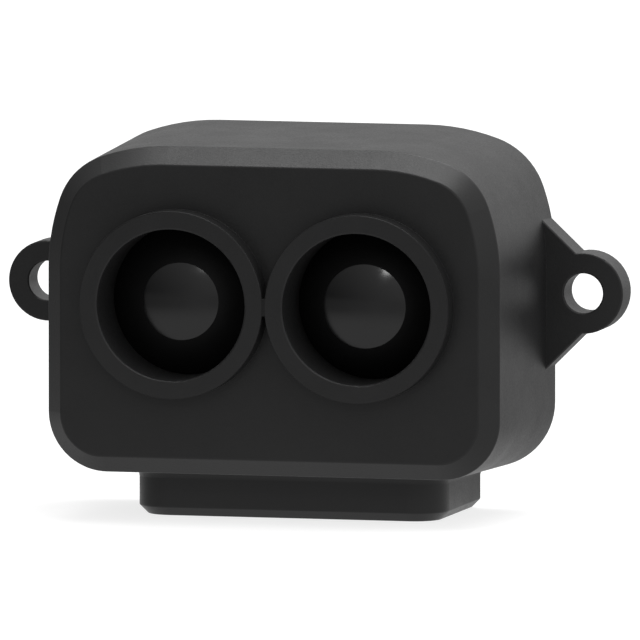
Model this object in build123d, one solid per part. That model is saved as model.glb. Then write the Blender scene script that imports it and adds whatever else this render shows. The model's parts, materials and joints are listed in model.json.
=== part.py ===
from build123d import *
from math import cos, hypot, radians, sin, sqrt
import os

os.makedirs("parts", exist_ok=True)

# Millimetres. X runs across the face, +Y points to the rear, +Z is up.
# The origin lies midway between the two ear holes, on the flat rear mounting plane,
# level with both lens axes.

# --- moulded body, front view ----------------------------------------------------------
HALF_WIDTH = 13.21          # at the rear plane
TOP = 8.99
BOTTOM = -9.96
GENTLE_R = 12.2             # long easing arcs that start and end each top corner
TIGHT_R = 4.2               # tight arc in the middle of each top corner
EASE = 19.3                 # degrees turned by each easing arc
BOTTOM_R = 3.72
# --- moulded body, side view -----------------------------------------------------------
DEPTH = 12.6                # rear plane to flat front face
CHAMFER_BACK = 1.10         # depth of the front chamfer
CHAMFER_IN = 0.96           # how far the front chamfer steps in
DRAFT_IN = 0.42             # mould draft from the rear plane to the chamfer
FRONT_WALL = 2.0
WALL = 1.4
CAVITY_DRAFT = 0.35
EDGE_R = 0.15               # softened outer edges
MOUTH_R = 0.1               # softened rims of the lens openings, ear holes and foot
# --- lens openings ---------------------------------------------------------------------
LENS_X = 5.25               # half the spacing of the two optical axes
BORE_R = 4.185
RING_R = 5.2
RING_HEIGHT = 1.345
RING_EDGE_R = 0.06          # rounding of each raised ring's outer edge
RING_BRIDGE = (0.6, 0.95)   # block that joins the two rings: width and height
COLLAR_R = 4.62             # outside of the tube that carries each opening inwards
COLLAR_REAR = -10.02
# --- mounting ears ---------------------------------------------------------------------
EAR_X = 15.25
EAR_HOLE_R = 1.1
EAR_LUG_R = 2.25
EAR_THICK = 2.0
WEB_ROOT_X = 12.3           # inside the side wall, so that the web fuses with it
WEB_TOP_ROOT = 4.61
WEB_TOP_TIP = (14.84, 2.21)
WEB_BOTTOM_ROOT = -5.11
WEB_BOTTOM_TIP = (15.20, -2.24)
# --- connector foot --------------------------------------------------------------------
FOOT_BOTTOM = -12.24
FOOT_HALF_REAR = 8.95
FOOT_HALF_FRONT = 8.74
FOOT_LENGTH = 8.57
FOOT_CHAMFER = 0.49
FOOT_CORNER_R = 1.95
FOOT_BLEND_R = 0.5          # hollow rounding where the foot meets the body
TAB_CORNER_R = 1.5          # lower corners of the rear opening, measured at the rear edge
# --- rear cover ------------------------------------------------------------------------
REBATE_IN = 0.8
REBATE_DEPTH = 1.5
COVER_GAP = 0.08
COVER_FRONT = -1.25
COVER_REAR = -0.1
LIP_DEPTH = 0.65
LIP_THICK = 0.5
SEAL_INSETS = (0.92, 1.34)
PANEL_SIZE = (13.0, 7.5)
PANEL_DEPTH = 0.2
PANEL_CORNER_R = 1.0
BOSS_R = 1.2
COVER_BOSSES = [(-9.68, 5.46), (9.68, 5.46), (-10.28, -7.03), (10.28, -7.03)]
COVER_SCREW_R = 0.6
COVER_SCREW_LENGTH = 4.6
COVER_HEAD_R = 1.15
COVER_HEAD_HEIGHT = 0.6
COVER_CROSS = (0.28, 1.5, 0.4)      # screwdriver cross: arm width, length and depth
# --- optics ----------------------------------------------------------------------------
GASKET_RING_R = (4.68, 5.1)
GASKET_NECK = (2.0, 1.6)    # strip that joins the gasket's two rings: width and height
SEAT_R = 4.5                # counterbore in the optics block for a barrel's flange
SEAT_FLOOR = -9.6
BARREL_FLANGE_R = 4.45
NOSE_BULGE = 0.14           # how far each nose swells beyond a plain cone
SHANK_R = 3.3
BARREL_REAR = -8.2
LENS_RISE_R = 8.0           # radius of the domed front of each lens
LENS_GAP = 0.02             # between a lens and the barrel's front rim
LENS_LIP = 0.38             # how thick the barrel is in front of the lens flange
LENS_EDGE = 0.9             # thickness of the lens flange
LENS_FLANGE_STEP = 0.23     # flange beyond the visible dome
LENS_REAR_SAG = 0.35        # bulge of the rear surface
EMITTER = {"x": -LENS_X, "dome_r": 2.14, "rim": -11.60}
RECEIVER = {"x": LENS_X, "dome_r": 2.32, "rim": -11.95}
RETAINER_THICK = 0.7
RETAINER_WIDTH = 0.65
SPANNER_SLOT = 0.5
CHAMBER_R = 2.6
FIELD_STOP_R = 2.0
BLOCK_PLATE = (-10.0, -9.0)
BLOCK_REAR = -6.6
BLOCK_PLATE_HEIGHT = 10.0
BLOCK_BODY_HEIGHT = 8.8
FILTER_SIZE = 4.6
FILTER_THICK = 0.5
FILTER_REAR = -7.15
BAFFLE_IN = 0.3             # baffle edge, stepped in from the optics block
# --- boards and the screws that clamp the stack ----------------------------------------
BOARD_THICK = 0.8
SENSOR_FRONT = -6.2
SENSOR_REAR = SENSOR_FRONT + BOARD_THICK
PROCESSOR_FRONT = -3.0
PROCESSOR_REAR = PROCESSOR_FRONT + BOARD_THICK
MATING_Y = (SENSOR_REAR + PROCESSOR_FRONT) / 2      # where plug and socket meet
MATING_Z = -1.6
BOARD_IN = 2.05             # board edge, stepped in from the body outline
BOARD_NOTCH_R = 1.5
TONGUE_HALF = 6.6           # the processor board reaches down into the foot
TONGUE_TOP = -7.0
TONGUE_BOTTOM = -10.8
STACK_Z = 5.6
STACK_SCREW_R = 0.75
STACK_BOSS_R = 1.45
STACK_BOSS_REAR = -9.4
STACK_SCREW_TIP = -11.4
STACK_HEAD_R = 1.35
STACK_HEAD_HEIGHT = 0.7
STACK_HEAD_EDGE_R = 0.3
STACK_CROSS = (0.3, 1.6, 0.35)
# --- parts on the boards: sizes are width, height and thickness ------------------------
PACKAGE_CHAMFER = 0.12
LEAD_REACH = 0.5            # how far leads stand out beside a package
LEAD_RISE = 0.4             # lead thickness, as a share of the package's
CAPACITOR_END = 0.4         # length of the soldered ends
CAPACITOR_STEP = 0.05       # how far the ends stand out round the ceramic
LED_BASE = (3.4, 3.4, 0.5)
LED_DOME_R = 1.2
LED_DOME_HIGH = 0.7
RECEIVER_BASE = (4.2, 3.6, 0.6)
RECEIVER_WINDOW = (3.0, 2.4, 0.15)
STACK_PLUG = (12.6, 3.0)    # board-to-board connector
STACK_GROOVE = (11.6, 1.8)
STACK_GROOVE_DEPTH = 0.6
BULK_SIZE = (3.2, 1.6, 1.3)
BULK_PLACES = [(-6.4, 4.6), (-6.4, 2.4), (6.4, 4.6), (6.4, 2.4)]
DECOUPLING_SIZE = (1.6, 0.8, 0.75)
DECOUPLING_PLACES = [(-8.6, -2.5), (-8.6, -4.2), (8.6, -2.5), (8.6, -4.2), (4.4, 4.6), (4.4, 3.0)]
DRIVER = {"place": (-5.6, -5.4), "size": (3.0, 2.8, 0.9), "legs": 4, "pitch": 0.65}
PROCESSOR = {"place": (0, 0.3), "size": (7.0, 7.0, 0.8)}
CRYSTAL = {"place": (6.6, 0.6), "size": (3.2, 2.5, 0.7)}
REGULATOR = {"place": (-7.2, 1.0), "size": (1.6, 2.9, 0.85), "legs": 3, "pitch": 0.95}
INDUCTOR = {"place": (-6.6, -5.2), "size": (3.0, 3.0, 1.2)}
# --- connector -------------------------------------------------------------------------
SOCKET_SIZE = (7.4, 2.9, 4.0)
SOCKET_BOTTOM = -12.21
SOCKET_WALL = 0.45
SOCKET_MOUTH_DEPTH = 3.0
CONTACT_PITCH = 1.25
CONTACT_COUNT = 4
CONTACT_THICK = 0.32
CONTACT_TIP_IN = 1.0        # contact tips, behind the socket's mouth
CONTACT_RISE = 0.5          # contacts above the socket before they turn to the board
CONTACT_PAD = (0.2, 0.8)    # thickness and height
KEY_SLOT_X = 2.2
KEY_SLOT_WIDTH = 0.8
# --- clearances ------------------------------------------------------------------------
RUNNING = 0.03              # radial gap between pieces that slide together
CLEAR = 0.1                 # free hole around a screw


# --- helpers ---------------------------------------------------------------------------
def facing_front(y):
    """Sketch plane at y, looking at the front of the object: local x is X, local y is Z."""
    return Plane.XZ.offset(-y)


def slab(sketch, front, rear):
    """A front-view sketch made solid between two depths."""
    return extrude(facing_front(rear) * sketch, rear - front)


def rod(x, z, radius, front, rear):
    return slab(Pos(x, z) * Circle(radius), front, rear)


def brick(x, z, front, rear, width, height):
    """A block centred at (x, z) in the front view."""
    return slab(Pos(x, z) * Rectangle(width, height), front, rear)


def turned(points, x=0):
    """A turned piece from (radius, y) points, about the optical axis at x."""
    profile = make_face(Polyline(*points, close=True))
    return Pos(x, 0, 0) * revolve(profile, Axis.Y)


def body_outline(inset):
    """Front view of the body, stepped in all round. Its top corners ease in and out of a
    tighter middle arc, and its bottom corners are plain quarter circles."""
    turn = radians(EASE)
    step = GENTLE_R - TIGHT_R
    reach = GENTLE_R * (1 - cos(turn) + sin(turn)) + TIGHT_R * (cos(turn) - sin(turn))
    side_centre = (HALF_WIDTH - GENTLE_R, TOP - reach)
    top_centre = (HALF_WIDTH - reach, TOP - GENTLE_R)
    middle = (side_centre[0] + step * cos(turn), side_centre[1] + step * sin(turn))
    low = (HALF_WIDTH - BOTTOM_R, BOTTOM + BOTTOM_R)
    right = [
        CenterArc(low, BOTTOM_R - inset, -90, 90),
        Line((HALF_WIDTH - inset, low[1]), (HALF_WIDTH - inset, side_centre[1])),
        CenterArc(side_centre, GENTLE_R - inset, 0, EASE),
        CenterArc(middle, TIGHT_R - inset, EASE, 90 - 2 * EASE),
        CenterArc(top_centre, GENTLE_R - inset, 90 - EASE, EASE),
    ]
    left = [mirror(edge, Plane.YZ) for edge in right]
    lids = [
        Line((-top_centre[0], TOP - inset), (top_centre[0], TOP - inset)),
        Line((-low[0], BOTTOM + inset), (low[0], BOTTOM + inset)),
    ]
    return make_face(Curve() + right + left + lids)


def rear_shape(inset):
    """Rear view of body and foot together, stepped in all round."""
    half = FOOT_HALF_REAR - inset
    bottom = FOOT_BOTTOM + inset
    tab = RectangleRounded(2 * half, -bottom, TAB_CORNER_R - inset)
    return body_outline(inset) + Pos(0, bottom / 2) * tab


def near(edges, axis, value, slack=0.01):
    """Edges whose middle lies at a given coordinate."""
    return [e for e in edges if abs(getattr(e.center(), axis) - value) < slack]


def cross_recess(width, length, depth):
    """The cross for a screwdriver, cut into a head whose outer face lies at y = 0."""
    arm = brick(0, 0, -depth, CLEAR, length, width)
    return arm + brick(0, 0, -depth, CLEAR, width, length)


# --- housing shell ---------------------------------------------------------------------
def ear(side):
    """One mounting ear: a round lug on a web that leans on the side wall."""
    web = Polyline(
        (side * WEB_ROOT_X, WEB_TOP_ROOT),
        (side * WEB_TOP_TIP[0], WEB_TOP_TIP[1]),
        (side * EAR_X, 0),
        (side * WEB_BOTTOM_TIP[0], WEB_BOTTOM_TIP[1]),
        (side * WEB_ROOT_X, WEB_BOTTOM_ROOT),
        close=True,
    )
    plate = make_face(web) + Pos(side * EAR_X, 0) * Circle(EAR_LUG_R)
    return slab(plate, -EAR_THICK, 0)


def foot():
    """The drafted connector foot under the body, chamfered round its underside."""
    plan = Polyline(
        (-FOOT_HALF_REAR, 0),
        (-FOOT_HALF_FRONT, -FOOT_LENGTH),
        (FOOT_HALF_FRONT, -FOOT_LENGTH),
        (FOOT_HALF_REAR, 0),
        close=True,
    )
    block = extrude(Plane.XY.offset(FOOT_BOTTOM) * make_face(plan), -FOOT_BOTTOM)
    upright = near(block.edges().filter_by(Axis.Z), "Y", -FOOT_LENGTH)
    block = fillet(upright, FOOT_CORNER_R)
    under = near(block.edges(), "Z", FOOT_BOTTOM)
    return chamfer([e for e in under if e.center().Y < -CLEAR], FOOT_CHAMFER)


def outer_body():
    front = loft(
        [
            facing_front(-DEPTH) * body_outline(DRAFT_IN + CHAMFER_IN),
            facing_front(CHAMFER_BACK - DEPTH) * body_outline(DRAFT_IN),
            facing_front(0) * body_outline(0),
        ],
        ruled=True,
    )
    rims = near(front.edges(), "Y", CHAMFER_BACK - DEPTH) + near(front.edges(), "Y", -DEPTH)
    return fillet(rims, EDGE_R)


def raised_rings():
    """The rings round the two openings, joined by a short block between them."""
    crest = -DEPTH - RING_HEIGHT
    root = -DEPTH + FRONT_WALL / 2
    rings = brick(0, 0, crest, root, *RING_BRIDGE)
    for side in (-1, 1):
        disc = rod(side * LENS_X, 0, RING_R, crest, root)
        rings += fillet(near(disc.edges(), "Y", crest), RING_EDGE_R)
    return rings


def blended(body):
    """Rounds the corner where the foot's front and sides run into the body's underside."""
    inner = [e for e in body.edges() if -FOOT_LENGTH - CLEAR < e.center().Y < -CLEAR]
    inner = [e for e in inner if abs(e.center().X) < FOOT_HALF_REAR + RUNNING]
    return fillet([e for e in inner if 0 < e.center().Z - BOTTOM < DRAFT_IN], FOOT_BLEND_R)


def softened(shell):
    """The small radii that a mould leaves on the openings, the ears and the foot."""
    mouths = near(shell.edges().filter_by(GeomType.CIRCLE), "Y", -DEPTH - RING_HEIGHT)
    shell = fillet([e for e in mouths if e.radius < BORE_R + CLEAR], MOUTH_R)
    ears = near(shell.edges(), "Y", -EAR_THICK)
    shell = fillet([e for e in ears if abs(e.center().X) > HALF_WIDTH], MOUTH_R)
    low = [e for e in shell.edges() if e.center().Z < FOOT_BOTTOM + 2 * FOOT_CHAMFER]
    return fillet([e for e in low if e.center().Y < WALL - FOOT_LENGTH], MOUTH_R)


def housing_shell():
    shell = blended(outer_body() + foot()) + ear(-1) + ear(1) + raised_rings()
    cavity_front = -DEPTH + FRONT_WALL
    shell -= loft(
        [
            facing_front(cavity_front) * body_outline(WALL + CAVITY_DRAFT),
            facing_front(0) * body_outline(WALL),
        ],
        ruled=True,
    )
    bay_bottom = FOOT_BOTTOM + WALL
    bay_half = FOOT_HALF_REAR - WALL
    shell -= brick(0, bay_bottom / 2, WALL - FOOT_LENGTH, 0, 2 * bay_half, -bay_bottom)
    shell -= slab(rear_shape(REBATE_IN), -REBATE_DEPTH, 0)
    for x, z in COVER_BOSSES:
        shell += rod(x, z, BOSS_R, cavity_front, COVER_FRONT)
    for z in (-STACK_Z, STACK_Z):
        shell += rod(0, z, STACK_BOSS_R, cavity_front, STACK_BOSS_REAR)
    for x, z in COVER_BOSSES:
        tip = COVER_REAR - COVER_SCREW_LENGTH - CLEAR
        shell -= rod(x, z, COVER_SCREW_R + RUNNING, tip, COVER_FRONT)
    for z in (-STACK_Z, STACK_Z):
        shell -= rod(0, z, STACK_SCREW_R + RUNNING, STACK_SCREW_TIP - CLEAR, STACK_BOSS_REAR)
    for side in (-1, 1):
        shell += rod(side * LENS_X, 0, COLLAR_R, cavity_front, COLLAR_REAR)
        shell -= rod(side * LENS_X, 0, BORE_R, -DEPTH - 2 * RING_HEIGHT, COLLAR_REAR)
        shell -= rod(side * EAR_X, 0, EAR_HOLE_R, -2 * EAR_THICK, EAR_THICK)
    width, thick, tall = SOCKET_SIZE
    middle = PROCESSOR_FRONT - thick / 2
    slot = Box(width + 2 * CLEAR, thick + 2 * CLEAR, tall)
    return softened(shell - Pos(0, middle, FOOT_BOTTOM) * slot)


# --- rear cover, its seal and its screws -----------------------------------------------
def cover_screw_hole():
    """Screw hole with a countersink, its mouth on the outer face of the cover."""
    neck = COVER_REAR - COVER_HEAD_HEIGHT
    reach = COVER_HEAD_R + RUNNING
    narrow = COVER_SCREW_R + CLEAR
    return turned([(0, COVER_FRONT - LIP_DEPTH), (narrow, COVER_FRONT - LIP_DEPTH),
                   (narrow, neck), (reach, COVER_REAR), (0, COVER_REAR)])


def rear_cover():
    cover = slab(rear_shape(REBATE_IN + COVER_GAP), COVER_FRONT, COVER_REAR)
    lip = body_outline(WALL + CLEAR) - body_outline(WALL + CLEAR + LIP_THICK)
    lip = slab(lip, COVER_FRONT - LIP_DEPTH, COVER_FRONT)
    for x, z in COVER_BOSSES:
        lip -= rod(x, z, BOSS_R + CLEAR, COVER_FRONT - LIP_DEPTH, COVER_FRONT)
    bay_half = FOOT_HALF_REAR - WALL
    lip -= brick(0, BOTTOM, COVER_FRONT - LIP_DEPTH, COVER_FRONT, 2 * bay_half, 4 * WALL)
    cover += lip
    for x, z in COVER_BOSSES:
        cover -= Pos(x, 0, z) * cover_screw_hole()
    panel = RectangleRounded(*PANEL_SIZE, PANEL_CORNER_R)
    return cover - slab(panel, COVER_REAR - PANEL_DEPTH, COVER_REAR)


def rear_seal():
    outer, inner = SEAL_INSETS
    seal = rear_shape(outer) - rear_shape(inner)
    return slab(seal, -REBATE_DEPTH, COVER_FRONT)


def cover_screw():
    neck = COVER_REAR - COVER_HEAD_HEIGHT
    tip = COVER_REAR - COVER_SCREW_LENGTH
    body = turned([(0, tip), (COVER_SCREW_R / 2, tip), (COVER_SCREW_R, tip + COVER_SCREW_R),
                   (COVER_SCREW_R, neck), (COVER_HEAD_R, COVER_REAR), (0, COVER_REAR)])
    return body - Pos(0, COVER_REAR, 0) * cross_recess(*COVER_CROSS)


def cover_screws():
    return [Pos(x, 0, z) * cover_screw() for x, z in COVER_BOSSES]


# --- optics ----------------------------------------------------------------------------
def front_gasket():
    """Figure-of-eight rubber gasket between the front wall and the optics block."""
    inner, outer = GASKET_RING_R
    face = Rectangle(*GASKET_NECK)
    for side in (-1, 1):
        face += Pos(side * LENS_X, 0) * Circle(outer)
    for side in (-1, 1):
        face -= Pos(side * LENS_X, 0) * Circle(inner)
    return slab(face, -DEPTH + FRONT_WALL, BLOCK_PLATE[0])


def optics_block():
    """The black holder that carries both barrels and keeps their light apart."""
    plate_front, plate_rear = BLOCK_PLATE
    block = slab(SlotCenterToCenter(2 * LENS_X, BLOCK_PLATE_HEIGHT), plate_front, plate_rear)
    block += slab(SlotCenterToCenter(2 * LENS_X, BLOCK_BODY_HEIGHT), plate_rear, BLOCK_REAR)
    for z in (-STACK_Z, STACK_Z):
        block -= rod(0, z, STACK_BOSS_R + CLEAR, plate_front, STACK_BOSS_REAR)
        root = z * (1 - STACK_BOSS_R / (2 * STACK_Z))
        block += brick(0, root, STACK_BOSS_REAR, BLOCK_REAR, 2 * STACK_BOSS_R, STACK_BOSS_R)
        block += rod(0, z, STACK_BOSS_R, STACK_BOSS_REAR, SENSOR_FRONT)
        block -= rod(0, z, STACK_SCREW_R + CLEAR, plate_front, SENSOR_FRONT)
    for side in (-1, 1):
        block -= rod(side * LENS_X, 0, SEAT_R, plate_front, SEAT_FLOOR)
        block -= rod(side * LENS_X, 0, SHANK_R + RUNNING, SEAT_FLOOR, BARREL_REAR + CLEAR)
    block -= rod(-LENS_X, 0, CHAMBER_R, BARREL_REAR, BLOCK_REAR)
    filter_front = FILTER_REAR - FILTER_THICK
    pocket = FILTER_SIZE + 2 * CLEAR
    block -= rod(LENS_X, 0, FIELD_STOP_R, BARREL_REAR, filter_front)
    return block - brick(LENS_X, 0, filter_front, BLOCK_REAR, pocket, pocket)


def flange_radius(eye):
    return eye["dome_r"] + LENS_FLANGE_STEP


def barrel(eye):
    """Lens barrel: a swelling nose in the opening, a seated flange and a threaded shank."""
    rim = eye["rim"]
    aperture = eye["dome_r"] + LENS_GAP
    pocket = flange_radius(eye) + RUNNING
    foot_y = BLOCK_PLATE[0]
    run, drop = BORE_R - aperture, foot_y - rim
    swell = NOSE_BULGE / hypot(run, drop)
    crown = (aperture + run / 2 + drop * swell, rim + drop / 2 - run * swell)
    outline = [
        ThreePointArc((aperture, rim), crown, (BORE_R, foot_y)),
        Polyline((BORE_R, foot_y), (BARREL_FLANGE_R, foot_y), (BARREL_FLANGE_R, SEAT_FLOOR),
                 (SHANK_R, SEAT_FLOOR), (SHANK_R, BARREL_REAR), (pocket, BARREL_REAR),
                 (pocket, rim + LENS_LIP), (aperture, rim + LENS_LIP), (aperture, rim)),
    ]
    return Pos(eye["x"], 0, 0) * revolve(make_face(Curve() + outline), Axis.Y)


def lens(eye):
    """Moulded lens: domed front proud of the barrel's rim, flange behind, bulged rear."""
    dome = eye["dome_r"]
    rim = eye["rim"]
    flange = flange_radius(eye)
    vertex = rim - (LENS_RISE_R - sqrt(LENS_RISE_R**2 - dome**2))
    half_sag = LENS_RISE_R - sqrt(LENS_RISE_R**2 - dome**2 / 4)
    shoulder = rim + LENS_LIP
    rear = shoulder + LENS_EDGE
    bulge = RETAINER_WIDTH
    outline = [
        ThreePointArc((0, vertex), (dome / 2, vertex + half_sag), (dome, rim)),
        Polyline((dome, rim), (dome, shoulder), (flange, shoulder), (flange, rear),
                 (flange - bulge, rear), (0, rear + LENS_REAR_SAG), (0, vertex)),
    ]
    return Pos(eye["x"], 0, 0) * revolve(make_face(Curve() + outline), Axis.Y)


def retaining_ring(eye):
    """Threaded ring behind the lens, with two slots for a spanner."""
    front = eye["rim"] + LENS_LIP + LENS_EDGE
    rear = front + RETAINER_THICK
    outer = flange_radius(eye)
    ring = turned([(outer - RETAINER_WIDTH, front), (outer, front), (outer, rear),
                   (outer - RETAINER_WIDTH, rear)], eye["x"])
    slot = brick(eye["x"], 0, rear - RETAINER_THICK / 2, rear, 3 * outer, SPANNER_SLOT)
    return ring - slot


def receiver_filter():
    return brick(LENS_X, 0, FILTER_REAR - FILTER_THICK, FILTER_REAR, FILTER_SIZE, FILTER_SIZE)


def light_baffle():
    """Foam frame that closes the gap between block and board round each chamber."""
    face = SlotCenterToCenter(2 * LENS_X, BLOCK_BODY_HEIGHT - 2 * BAFFLE_IN)
    face -= Pos(-LENS_X, 0) * Circle(CHAMBER_R + BAFFLE_IN)
    opening = FILTER_SIZE + 2 * BAFFLE_IN
    face -= Pos(LENS_X, 0) * Rectangle(opening, opening)
    return slab(face, BLOCK_REAR, SENSOR_FRONT)


# --- boards ----------------------------------------------------------------------------
def board_face():
    face = body_outline(BOARD_IN)
    for x, z in COVER_BOSSES:
        face -= Pos(x, z) * Circle(BOARD_NOTCH_R)
    for z in (-STACK_Z, STACK_Z):
        face -= Pos(0, z) * Circle(STACK_SCREW_R + CLEAR)
    return face


def sensor_board():
    return slab(board_face(), SENSOR_FRONT, SENSOR_REAR)


def processor_board():
    middle = (TONGUE_TOP + TONGUE_BOTTOM) / 2
    tongue = Pos(0, middle) * Rectangle(2 * TONGUE_HALF, TONGUE_TOP - TONGUE_BOTTOM)
    return slab(board_face() + tongue, PROCESSOR_FRONT, PROCESSOR_REAR)


def package(place, size, face, side, legs=0, pitch=0):
    """A moulded package on a board face. side is -1 for the front of the board, 1 for its
    rear. legs is the number of leads along each long edge."""
    x, z = place
    width, tall, high = size
    low, top = sorted((face, face + side * high))
    body = brick(x, z, low, top, width, tall)
    body = chamfer(body.edges().filter_by(Axis.Y), PACKAGE_CHAMFER)
    low, top = sorted((face, face + side * high * LEAD_RISE))
    for i in range(legs):
        lead_z = z + (i - (legs - 1) / 2) * pitch
        body += brick(x, lead_z, low, top, width + 2 * LEAD_REACH, pitch / 2)
    return body


def capacitors(places, size, face):
    """Chip capacitors on the rear of a board: ceramic blocks with wider soldered ends."""
    width, tall, high = size
    parts = []
    for x, z in places:
        ceramic = (width - CAPACITOR_END, tall - 2 * CAPACITOR_STEP)
        body = brick(x, z, face, face + high - CAPACITOR_STEP, *ceramic)
        for end in (-1, 1):
            middle = x + end * (width - CAPACITOR_END) / 2
            body += brick(middle, z, face, face + high, CAPACITOR_END, tall)
        parts.append(body)
    return parts


def emitter_led():
    """Infrared emitter: ceramic base with a flat-topped clear dome."""
    base = package((-LENS_X, 0), LED_BASE, SENSOR_FRONT, -1)
    base_top = SENSOR_FRONT - LED_BASE[2]
    dome = Pos(-LENS_X, base_top, 0) * Sphere(LED_DOME_R)
    span = 2 * LED_DOME_R
    keep = brick(-LENS_X, 0, base_top - LED_DOME_HIGH, base_top + CLEAR, span, span)
    return base + (dome & keep)


def receiver_chip():
    base = package((LENS_X, 0), RECEIVER_BASE, SENSOR_FRONT, -1)
    width, height, thick = RECEIVER_WINDOW
    base_top = SENSOR_FRONT - RECEIVER_BASE[2]
    return base + brick(LENS_X, 0, base_top - thick, base_top + CLEAR, width, height)


def board_socket():
    """Front half of the board-to-board connector, with a groove for the plug."""
    body = brick(0, MATING_Z, SENSOR_REAR, MATING_Y, *STACK_PLUG)
    return body - brick(0, MATING_Z, MATING_Y - STACK_GROOVE_DEPTH, MATING_Y, *STACK_GROOVE)


def board_plug():
    body = brick(0, MATING_Z, MATING_Y, PROCESSOR_FRONT, *STACK_PLUG)
    width, height = STACK_GROOVE
    tip = MATING_Y - STACK_GROOVE_DEPTH + RUNNING
    return body + brick(0, MATING_Z, tip, MATING_Y, width - 2 * CLEAR, height - 2 * CLEAR)


def board_spacers():
    spacers = []
    for z in (-STACK_Z, STACK_Z):
        tube = Circle(STACK_BOSS_R) - Circle(STACK_SCREW_R + CLEAR)
        spacers.append(slab(Pos(0, z) * tube, SENSOR_REAR, PROCESSOR_FRONT))
    return spacers


def stack_screws():
    screws = []
    top = PROCESSOR_REAR + STACK_HEAD_HEIGHT
    for z in (-STACK_Z, STACK_Z):
        screw = rod(0, z, STACK_SCREW_R, STACK_SCREW_TIP, PROCESSOR_REAR)
        head = rod(0, z, STACK_HEAD_R, PROCESSOR_REAR, top)
        head = fillet(near(head.edges(), "Y", top), STACK_HEAD_EDGE_R)
        screw += head
        screws.append(screw - Pos(0, top, z) * cross_recess(*STACK_CROSS))
    return screws


# --- connector in the foot -------------------------------------------------------------
def contact_places():
    return [(i - (CONTACT_COUNT - 1) / 2) * CONTACT_PITCH for i in range(CONTACT_COUNT)]


def contact(x):
    """One right-angle pin: straight up through the socket, then back to its pad."""
    thick = SOCKET_SIZE[1]
    middle = PROCESSOR_FRONT - thick / 2
    tip = SOCKET_BOTTOM + CONTACT_TIP_IN
    top = SOCKET_BOTTOM + SOCKET_SIZE[2] + CONTACT_RISE
    pin = Pos(x, middle, (tip + top) / 2) * Box(CONTACT_THICK, CONTACT_THICK, top - tip)
    bend_y = (middle + PROCESSOR_FRONT) / 2
    bend = Pos(x, bend_y, top - CONTACT_THICK / 2) * Box(CONTACT_THICK, thick / 2, CONTACT_THICK)
    pad_thick, pad_tall = CONTACT_PAD
    pad = Box(CONTACT_THICK, pad_thick, pad_tall)
    return pin + bend + Pos(x, PROCESSOR_FRONT - pad_thick / 2, top + pad_tall / 4) * pad


def connector_socket():
    width, thick, tall = SOCKET_SIZE
    middle = PROCESSOR_FRONT - thick / 2
    body = Pos(0, middle, SOCKET_BOTTOM + tall / 2) * Box(width, thick, tall)
    mouth = Box(width - 2 * SOCKET_WALL, thick - 2 * SOCKET_WALL, SOCKET_MOUTH_DEPTH)
    body -= Pos(0, middle, SOCKET_BOTTOM + SOCKET_MOUTH_DEPTH / 2) * mouth
    key_y = PROCESSOR_FRONT - thick + SOCKET_WALL / 2
    for side in (-1, 1):
        key = Box(KEY_SLOT_WIDTH, 2 * SOCKET_WALL, SOCKET_MOUTH_DEPTH)
        body -= Pos(side * KEY_SLOT_X, key_y, SOCKET_BOTTOM + SOCKET_MOUTH_DEPTH / 2) * key
    for x in contact_places():
        body -= contact(x)
    return body


def connector_contacts():
    return [contact(x) for x in contact_places()]


# --- every node ------------------------------------------------------------------------
def write(name, shape):
    solids = shape if isinstance(shape, list) else shape.solids()
    whole = solids[0] if len(solids) == 1 else Compound(children=[*solids])
    export_step(whole, f"parts/{name}.step")


write("housing_shell", housing_shell())
write("rear_cover", rear_cover())
write("rear_seal", rear_seal())
write("cover_screws", cover_screws())
write("front_gasket", front_gasket())
write("optics_block", optics_block())
write("emitter_barrel", barrel(EMITTER))
write("receiver_barrel", barrel(RECEIVER))
write("emitter_lens", lens(EMITTER))
write("receiver_lens", lens(RECEIVER))
write("emitter_retaining_ring", retaining_ring(EMITTER))
write("receiver_retaining_ring", retaining_ring(RECEIVER))
write("receiver_filter", receiver_filter())
write("light_baffle", light_baffle())
write("sensor_board", sensor_board())
write("emitter_led", emitter_led())
write("receiver_chip", receiver_chip())
write("emitter_driver_chip", package(**DRIVER, face=SENSOR_REAR, side=1))
write("bulk_capacitors", capacitors(BULK_PLACES, BULK_SIZE, SENSOR_REAR))
write("board_socket", board_socket())
write("board_plug", board_plug())
write("board_spacers", board_spacers())
write("stack_screws", stack_screws())
write("processor_board", processor_board())
write("processor_chip", package(**PROCESSOR, face=PROCESSOR_REAR, side=1))
write("crystal", package(**CRYSTAL, face=PROCESSOR_REAR, side=1))
write("voltage_regulator", package(**REGULATOR, face=PROCESSOR_REAR, side=1))
write("power_inductor", package(**INDUCTOR, face=PROCESSOR_FRONT, side=-1))
write("decoupling_capacitors", capacitors(DECOUPLING_PLACES, DECOUPLING_SIZE, PROCESSOR_REAR))
write("connector_socket", connector_socket())
write("connector_contacts", connector_contacts())
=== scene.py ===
"""Materials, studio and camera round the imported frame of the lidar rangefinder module."""

import json
import math

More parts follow.
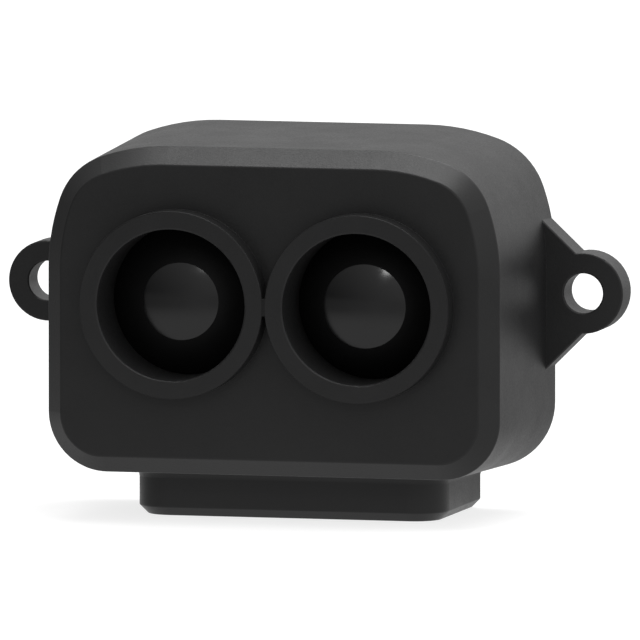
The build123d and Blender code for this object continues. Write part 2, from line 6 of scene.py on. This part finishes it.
import bpy
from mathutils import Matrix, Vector


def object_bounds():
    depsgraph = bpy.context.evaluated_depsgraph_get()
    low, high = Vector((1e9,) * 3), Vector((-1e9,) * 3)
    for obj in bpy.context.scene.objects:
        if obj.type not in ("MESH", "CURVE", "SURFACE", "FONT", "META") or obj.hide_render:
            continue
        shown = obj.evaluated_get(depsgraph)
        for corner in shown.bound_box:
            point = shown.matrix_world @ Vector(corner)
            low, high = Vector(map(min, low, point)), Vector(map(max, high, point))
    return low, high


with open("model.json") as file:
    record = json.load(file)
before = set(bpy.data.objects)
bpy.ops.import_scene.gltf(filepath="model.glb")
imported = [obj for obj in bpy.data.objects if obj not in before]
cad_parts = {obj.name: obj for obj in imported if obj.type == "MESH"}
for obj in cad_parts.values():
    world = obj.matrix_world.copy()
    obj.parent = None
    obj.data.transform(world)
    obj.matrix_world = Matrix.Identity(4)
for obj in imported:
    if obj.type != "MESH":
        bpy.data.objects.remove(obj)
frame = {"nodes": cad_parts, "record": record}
cad_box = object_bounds()

MM = 0.001

# --- camera, mm and degrees --------------------------------------------------------------
AZIMUTH = 13.76             # the camera stands a little to the right of the lenses
ELEVATION = 5.71
LENS = 1500                 # a very long lens, so that edges stay nearly parallel
SENSOR = 36
PICTURE_WIDTH = 35.31       # what the picture's width shows at the object's middle
AIM_RIGHT = 1.47            # the picture's centre from the object's centre
AIM_UP = 0.27

# --- light levels, in reflections unless told otherwise ------------------------------------
SKY_FRONT = 0.47            # radiance of the room in front of the object
SKY_REAR = 0.56             # and behind it
SKY_RIGHT = 0.32            # added on the right
SKY_UP = 0.34               # added towards the top
SKY_LEFT = -0.40            # taken away on the left
BACKDROP = 1.0              # what the camera sees behind the floor's edge
TABLE_GLOW = 0.74           # radiance of the floor close to the object
FAR_GLOW = 0.48             # and further off
TABLE_REACH = (45, 85)      # mm, where one fades into the other
REAR_GLOW = 0.46            # radiance of the floor behind the object
GLOW_LEFT = -0.22           # taken away from the far and rear floor on the left
FLOOR_TONE = 0.30           # the floor's grey as the camera sees it
FLOOR_GLOW = 0.78           # and the light it gives the camera by itself
OVERHEAD = 4.3              # radiance of the big softbox above
OVERHEAD_PLACE = (0.05, 0.05, 0.40)     # metres from the object's centre
OVERHEAD_SIZE = 0.36
KEY = 11.0                  # radiance of the small softbox in front
KEY_AZIMUTH = 6.0           # degrees to the right of straight ahead
KEY_HEIGHT = 23.5           # degrees above the horizon
KEY_DISTANCE = 0.35         # metres
KEY_SIZE = 0.036

# --- where the lens openings are, mm -----------------------------------------------------
LENS_X = 5.25
# the walls of the lens openings, inside OPENING_R and in front of OPENING_REAR, get painted
# light
OPENING_R = 4.22
OPENING_REAR = -9.9
RIM_R = (5.15, 5.3)         # the rings' outer walls, where shade is painted, lie between these radii
RIM_REAR = -12.63           # and in front of this depth
LENS_RISE_R = 8.0           # radius of each lens's front dome
LENS_CENTRES = (-3.8915, -4.2938)   # depth of the emitter's and the receiver's dome centres
DOME_SLACK = 0.03           # how far a mesh's point may lie off the dome

BEVEL_SAMPLES = 6
DUST_GREY = 0.12


# --- node helpers ------------------------------------------------------------------------
def node(tree, kind, settings=None, **inputs):
    """Adds a shader node. An input is a value or another node's output socket."""
    made = tree.nodes.new("ShaderNode" + kind)
    for key, value in (settings or {}).items():
        setattr(made, key, value)
    for key, value in inputs.items():
        name = key.replace("_", " ")
        socket = made.inputs[int(name[1:]) if name[0] == "i" and name[1:].isdigit() else name]
        if isinstance(value, bpy.types.NodeSocket):
            tree.links.new(value, socket)
        else:
            socket.default_value = value
    return made


def maths(tree, operation, a, b=0.0, clamp=False):
    settings = {"operation": operation, "use_clamp": clamp}
    return node(tree, "Math", settings, i0=a, i1=b).outputs[0]


def near(tree, value, target, slack):
    """1 where a value is within slack of a target, and 0 elsewhere."""
    return node(tree, "Math", {"operation": "COMPARE"}, i0=value, i1=target, i2=slack).outputs[0]


def vectors(tree, operation, **inputs):
    """A vector node's outputs: the vector, then the number."""
    return node(tree, "VectorMath", {"operation": operation}, **inputs).outputs


def spread(tree, value, low, high, to_low=0.0, to_high=1.0):
    """Maps low..high of a value on to to_low..to_high, clamped."""
    made = node(tree, "MapRange", None, Value=value, From_Min=low, From_Max=high,
                To_Min=to_low, To_Max=to_high)
    return made.outputs[0]


def mix_colour(tree, factor, a, b):
    return node(tree, "Mix", {"data_type": "RGBA"}, i0=factor, i6=a, i7=b).outputs[2]


def mix_vector(tree, factor, a, b):
    return node(tree, "Mix", {"data_type": "VECTOR"}, i0=factor, i4=a, i5=b).outputs[1]


def grey(value):
    return (value, value, value, 1.0)


def shade(colour, factor):
    return tuple(min(1.0, c * factor) for c in colour[:3]) + (1.0,)


def millimetres(tree):
    """Object coordinates in millimetres."""
    place = node(tree, "TexCoord").outputs["Object"]
    return vectors(tree, "SCALE", i0=place, Scale=1 / MM)[0]


def noise(tree, place, size, detail=3.0, rough=0.6):
    """Noise whose blobs are about size millimetres across."""
    made = node(tree, "TexNoise", None, Vector=place, Scale=1 / size, Detail=detail,
                Roughness=rough)
    return made.outputs[0]


def own_normal(tree):
    return node(tree, "NewGeometry").outputs["Normal"]


def rounded_normal(tree, radius):
    """The normal as if edges were rounded to a radius in millimetres."""
    return node(tree, "Bevel", {"samples": BEVEL_SAMPLES}, Radius=radius * MM).outputs[0]


def edge_mask(tree, radius):
    """About 1 on convex and concave edges and 0 on flats, by comparing a rounded normal."""
    soft = rounded_normal(tree, radius)
    alike = vectors(tree, "DOT_PRODUCT", i0=soft, i1=own_normal(tree))[1]
    return spread(tree, alike, 1.0, 0.86)


def round_lenses(tree, place):
    """Distance from the nearer lens axis, and depth. place is in millimetres."""
    part = node(tree, "SeparateXYZ", None, Vector=place).outputs
    across = maths(tree, "SUBTRACT", maths(tree, "ABSOLUTE", part["X"]), LENS_X)
    square = maths(tree, "ADD", maths(tree, "MULTIPLY", across, across),
                   maths(tree, "MULTIPLY", part["Z"], part["Z"]))
    return maths(tree, "SQRT", square), part["Y"]


def bore_painted_light_mask(tree, place):
    """1 on the walls of the two lens openings, where light is painted, and 0 elsewhere."""
    away, depth = round_lenses(tree, place)
    inside = maths(tree, "LESS_THAN", away, OPENING_R)
    return maths(tree, "MULTIPLY", inside, maths(tree, "LESS_THAN", depth, OPENING_REAR))


def rim_painted_shade_mask(tree, place):
    """1 on the outer walls of the two raised rings, where shade is painted, and 0 elsewhere."""
    away, depth = round_lenses(tree, place)
    outside = near(tree, away, sum(RIM_R) / 2, (RIM_R[1] - RIM_R[0]) / 2)
    return maths(tree, "MULTIPLY", outside, maths(tree, "LESS_THAN", depth, RIM_REAR))


def dome_normal(tree, place):
    """The exact normal on the lenses' front domes, and the mesh's own normal elsewhere."""
    across = node(tree, "SeparateXYZ", None, Vector=place).outputs["X"]
    right = maths(tree, "GREATER_THAN", across, 0.0)
    centre = node(tree, "CombineXYZ", None, X=spread(tree, right, 0.0, 1.0, -LENS_X, LENS_X),
                  Y=spread(tree, right, 0.0, 1.0, *LENS_CENTRES)).outputs[0]
    arm = vectors(tree, "SUBTRACT", i0=place, i1=centre)[0]
    on_dome = near(tree, vectors(tree, "LENGTH", i0=arm)[1], LENS_RISE_R, DOME_SLACK)
    out = vectors(tree, "NORMALIZE", i0=arm)[0]
    return mix_vector(tree, on_dome, own_normal(tree), out)


def new_material(name):
    material = bpy.data.materials.new(name)
    material.use_nodes = True
    material.node_tree.nodes.clear()
    return material, material.node_tree


def finish_material(tree, shader):
    node(tree, "OutputMaterial", None, Surface=shader)


# --- materials ---------------------------------------------------------------------------
def surface(name, colour, roughness, grain=0.1, bump=0.004, mottle=0.12, wear=0.3,
            wear_colour=None, edge=0.1, metallic=0.0, specular=0.5, streak=None, bore_painted_light=1.0,
            rim_painted_shade=1.0):
    """A solid finish: mottled colour, fine grain in bump and roughness, softened and worn
    edges. grain, bump and edge are millimetres. streak stretches the grain along an axis,
    opening lightens the colour of the lens openings' walls, which is painted light, and rim
    turns the specular down on the rings' outer walls, which is painted shade."""
    material, tree = new_material(name)
    place = millimetres(tree)
    if streak:
        place = vectors(tree, "MULTIPLY", i0=place, i1=streak)[0]
    fine = noise(tree, place, grain)
    broad = noise(tree, place, 26 * grain, 4.0)
    cloudy = noise(tree, place, 90 * grain, 2.0)
    tone = maths(tree, "ADD", maths(tree, "MULTIPLY", broad, 0.6),
                 maths(tree, "MULTIPLY", cloudy, 0.4))
    tone = spread(tree, tone, 0.3, 0.7)
    base = mix_colour(tree, tone, shade(colour, 1 - mottle), shade(colour, 1 + mottle))
    # painted light: the walls of the lens openings get a lighter colour
    if bore_painted_light != 1.0:
        base = mix_colour(tree, bore_painted_light_mask(tree, place), base, shade(colour, bore_painted_light))
    # painted shade: the rings' outer walls get less specular
    if rim_painted_shade != 1.0:
        specular = spread(tree, rim_painted_shade_mask(tree, place), 0.0, 1.0, specular, rim_painted_shade * specular)
    speck = maths(tree, "MULTIPLY", spread(tree, fine, 0.35, 0.7), 0.35)
    base = mix_colour(tree, speck, base, shade(colour, 1 + 2.5 * mottle))
    edges = edge_mask(tree, edge)
    patchy = spread(tree, noise(tree, place, 9 * grain), 0.42, 0.62)
    worn = maths(tree, "MULTIPLY", maths(tree, "MULTIPLY", edges, patchy), wear)
    base = mix_colour(tree, worn, base, wear_colour or shade(colour, 2.2))
    rough = spread(tree, fine, 0.3, 0.7, roughness - 0.06, roughness + 0.06)
    rough = maths(tree, "ADD", rough, spread(tree, broad, 0.35, 0.65, -0.03, 0.03))
    rough = maths(tree, "SUBTRACT", rough, maths(tree, "MULTIPLY", worn, 0.12), True)
    normal = node(tree, "Bump", None, Strength=1.0, Distance=bump * MM, Height=fine,
                  Normal=rounded_normal(tree, 0.6 * edge)).outputs[0]
    shader = node(tree, "BsdfPrincipled", None, Base_Color=base, Roughness=rough,
                  Metallic=metallic, Specular_IOR_Level=specular, Normal=normal)
    finish_material(tree, shader.outputs[0])
    return material


def polished(name, colour, roughness, coat=0.0):
    """Dark moulded lens or coated glass: a glossy skin with a faint haze and dust, and a painted
    sheen that lightens the colour where the surface is seen at a grazing angle.
    """
    material, tree = new_material(name)
    place = millimetres(tree)
    haze = spread(tree, noise(tree, place, 1.6, 3.0), 0.4, 0.65)
    dust = spread(tree, noise(tree, place, 0.06, 2.0), 0.70, 0.78)
    # painted sheen: the colour grows lighter where the surface is seen edge-on
    grazing_painted_sheen = node(tree, "LayerWeight", None, Blend=0.35).outputs["Facing"]
    base = mix_colour(tree, grazing_painted_sheen, colour, shade(colour, 2.0))
    base = mix_colour(tree, maths(tree, "MULTIPLY", dust, 0.10), base, grey(DUST_GREY))
    rough = spread(tree, haze, 0.0, 1.0, roughness - 0.03, roughness + 0.04)
    rough = maths(tree, "ADD", rough, maths(tree, "MULTIPLY", dust, 0.15))
    ripple = node(tree, "Bump", None, Strength=0.3, Distance=0.002 * MM, Height=haze,
                  Normal=dome_normal(tree, place)).outputs[0]
    shader = node(tree, "BsdfPrincipled", None, Base_Color=base, Roughness=rough, IOR=1.5,
                  Coat_Weight=coat, Coat_Roughness=0.04, Normal=ripple)
    finish_material(tree, shader.outputs[0])
    return material


SLOT_FINISHES = {
    # the shell gets painted light on the walls of the lens openings and painted shade on the
    # rings' outer walls
    "shell_plastic": lambda n: surface(n, (0.0132, 0.0132, 0.0134), 0.37, 0.11, 0.006, wear=0.07,
                                       edge=0.05, specular=0.28, bore_painted_light=1.8, rim_painted_shade=0.45),
    "cover_plastic": lambda n: surface(n, (0.021, 0.021, 0.0215), 0.48, 0.16, 0.006),
    "optics_plastic": lambda n: surface(n, (0.0045, 0.0045, 0.0046), 0.55, 0.07, 0.003, wear=0.1,
                                        edge=0.03, specular=0.17),
    "black_rubber": lambda n: surface(n, (0.014, 0.014, 0.015), 0.75, 0.2, 0.01, 0.2),
    "black_foam": lambda n: surface(n, (0.02, 0.02, 0.02), 0.95, 0.18, 0.05, 0.3),
    "lens_plastic": lambda n: polished(n, (0.002, 0.002, 0.0022, 1.0), 0.16),
    "filter_glass": lambda n: polished(n, (0.03, 0.004, 0.010, 1.0), 0.09, coat=1.0),
    "anodised_ring": lambda n: surface(n, (0.03, 0.03, 0.032), 0.42, 0.08, 0.003, metallic=0.7),
    "circuit_board": lambda n: surface(n, (0.012, 0.09, 0.04), 0.35, 0.3, 0.01, 0.2,
                                       wear_colour=(0.30, 0.27, 0.16, 1.0)),
    "chip_epoxy": lambda n: surface(n, (0.02, 0.02, 0.021), 0.55, 0.06, 0.003),
    "white_ceramic": lambda n: surface(n, (0.72, 0.71, 0.67), 0.45, 0.08, 0.002, 0.05,
                                       wear_colour=(0.5, 0.48, 0.42, 1.0)),
    "tan_ceramic": lambda n: surface(n, (0.42, 0.29, 0.17), 0.5, 0.08, 0.003,
                                     wear_colour=(0.6, 0.6, 0.6, 1.0)),
    "inductor_ferrite": lambda n: surface(n, (0.06, 0.06, 0.065), 0.7, 0.1, 0.008),
    "steel": lambda n: surface(n, (0.50, 0.50, 0.51), 0.32, 0.09, 0.002, 0.1, metallic=1.0,
                               wear_colour=(0.72, 0.72, 0.72, 1.0)),
    "brass": lambda n: surface(n, (0.70, 0.50, 0.20), 0.3, 0.1, 0.002, metallic=1.0,
                               streak=(1, 8, 1)),
    "gold_plate": lambda n: surface(n, (0.85, 0.60, 0.22), 0.25, 0.06, 0.001, metallic=1.0),
    "socket_plastic": lambda n: surface(n, (0.70, 0.65, 0.53), 0.38, 0.12, 0.003, 0.06,
                                        wear_colour=(0.8, 0.77, 0.70, 1.0)),
    "connector_black": lambda n: surface(n, (0.022, 0.022, 0.023), 0.4, 0.08, 0.003),
}


def dress_nodes():
    """Gives every CAD node the finish of its record slot."""
    made = {}
    for row in frame["record"]["subparts"]:
        slot = row["material_slot"]
        if slot not in made:
            made[slot] = SLOT_FINISHES[slot]("finish_" + slot)
        for held in frame["nodes"][row["node"]].material_slots:
            held.material = made[slot]


# --- floor, room, lights and camera ------------------------------------------------------
def leftwards(tree, across, level):
    """A floor level that loses GLOW_LEFT towards the left."""
    return spread(tree, across, 0.0, -0.8, level, level + GLOW_LEFT)


def floor_reflection(tree):
    """How bright each place of the floor is in reflections."""
    place = millimetres(tree)
    away = vectors(tree, "LENGTH", i0=place)[1]
    way = vectors(tree, "NORMALIZE", i0=place)[0]
    way = node(tree, "SeparateXYZ", None, Vector=way).outputs
    level = spread(tree, away, *TABLE_REACH, TABLE_GLOW, leftwards(tree, way["X"], FAR_GLOW))
    return spread(tree, way["Y"], 0.0, 0.6, level, leftwards(tree, way["X"], REAR_GLOW))


def add_floor(low):
    """A plain pale floor under the foot. Seen from below it is clear."""
    bpy.ops.mesh.primitive_plane_add(size=6, location=(0, 0, low))
    floor = bpy.context.object
    floor.name = "floor"
    material, tree = new_material("pale_floor")
    camera_ray = node(tree, "LightPath").outputs["Is Camera Ray"]
    matt = node(tree, "BsdfDiffuse", None, Color=grey(FLOOR_TONE)).outputs[0]
    glow = node(tree, "Emission", None, Color=grey(1.0), Strength=FLOOR_GLOW).outputs[0]
    shown = node(tree, "AddShader", None, i0=matt, i1=glow).outputs[0]
    level = floor_reflection(tree)
    felt = node(tree, "Emission", None, Color=grey(1.0), Strength=level).outputs[0]
    both = node(tree, "MixShader", None, Fac=camera_ray, i1=felt, i2=shown).outputs[0]
    rear_side = node(tree, "NewGeometry").outputs["Backfacing"]
    below = maths(tree, "MULTIPLY", camera_ray, rear_side)
    clear = node(tree, "BsdfTransparent").outputs[0]
    finish_material(tree, node(tree, "MixShader", None, Fac=below, i1=both, i2=clear).outputs[0])
    floor.data.materials.append(material)


def add_world():
    """The room: pale to the camera, dimmer and directional in reflections."""
    world = bpy.data.worlds.new("studio")
    bpy.context.scene.world = world
    world.use_nodes = True
    tree = world.node_tree
    tree.nodes.clear()
    way = node(tree, "TexCoord").outputs["Generated"]
    way = node(tree, "SeparateXYZ", None, Vector=way).outputs
    depth = spread(tree, way["Y"], -1.0, 1.0, SKY_FRONT, SKY_REAR)
    right = spread(tree, way["X"], 0.0, 1.0, 0.0, SKY_RIGHT)
    left = spread(tree, way["X"], 0.0, -0.8, 0.0, SKY_LEFT)
    up = spread(tree, way["Z"], 0.0, 0.8, 0.0, SKY_UP)
    level = maths(tree, "ADD", maths(tree, "ADD", depth, up), maths(tree, "ADD", right, left))
    room = node(tree, "Background", None, Color=grey(1.0), Strength=level)
    pale = node(tree, "Background", None, Color=grey(1.0), Strength=BACKDROP)
    camera_ray = node(tree, "LightPath").outputs["Is Camera Ray"]
    both = node(tree, "MixShader", None, Fac=camera_ray, i1=room.outputs[0], i2=pale.outputs[0])
    node(tree, "OutputWorld", None, Surface=both.outputs[0])


def add_softbox(name, place, aim, size, radiance):
    """A square area light at place, facing aim. radiance is what a reflection of it shows."""
    light = bpy.data.lights.new(name, "AREA")
    light.shape = "SQUARE"
    light.size = size
    light.energy = radiance * math.pi * size * size
    holder = bpy.data.objects.new(name, light)
    bpy.context.scene.collection.objects.link(holder)
    holder.location = place
    holder.rotation_euler = (Vector(aim) - Vector(place)).to_track_quat("-Z", "Y").to_euler()
    holder.visible_camera = False


def direction(azimuth, elevation):
    """Unit vector from the object, at degrees to the right of straight ahead and upwards."""
    turn, tilt = math.radians(azimuth), math.radians(elevation)
    level = math.cos(tilt)
    return Vector((math.sin(turn) * level, -math.cos(turn) * level, math.sin(tilt)))


def add_lights(centre):
    above = centre + Vector(OVERHEAD_PLACE)
    add_softbox("overhead", above, centre, OVERHEAD_SIZE, OVERHEAD)
    ahead = centre + KEY_DISTANCE * direction(KEY_AZIMUTH, KEY_HEIGHT)
    add_softbox("key", ahead, centre, KEY_SIZE, KEY)


def add_camera(low, high):
    camera = bpy.data.cameras.new("camera")
    camera.lens = LENS
    camera.sensor_width = SENSOR
    camera.clip_end = 10
    holder = bpy.data.objects.new("camera", camera)
    bpy.context.scene.collection.objects.link(holder)
    back = direction(AZIMUTH, ELEVATION)
    right = direction(AZIMUTH + 90, 0)
    up = back.cross(right)
    aim = (low + high) / 2 + (AIM_RIGHT * right + AIM_UP * up) * MM
    holder.location = aim + back * (PICTURE_WIDTH * MM * LENS / SENSOR)
    holder.rotation_mode = "QUATERNION"
    holder.rotation_quaternion = (-back).to_track_quat("-Z", "Y")
    bpy.context.scene.camera = holder


dress_nodes()
add_floor(cad_box[0].z)
add_world()
add_lights((cad_box[0] + cad_box[1]) / 2)
add_camera(*cad_box)
bpy.context.scene.view_settings.view_transform = "Standard"
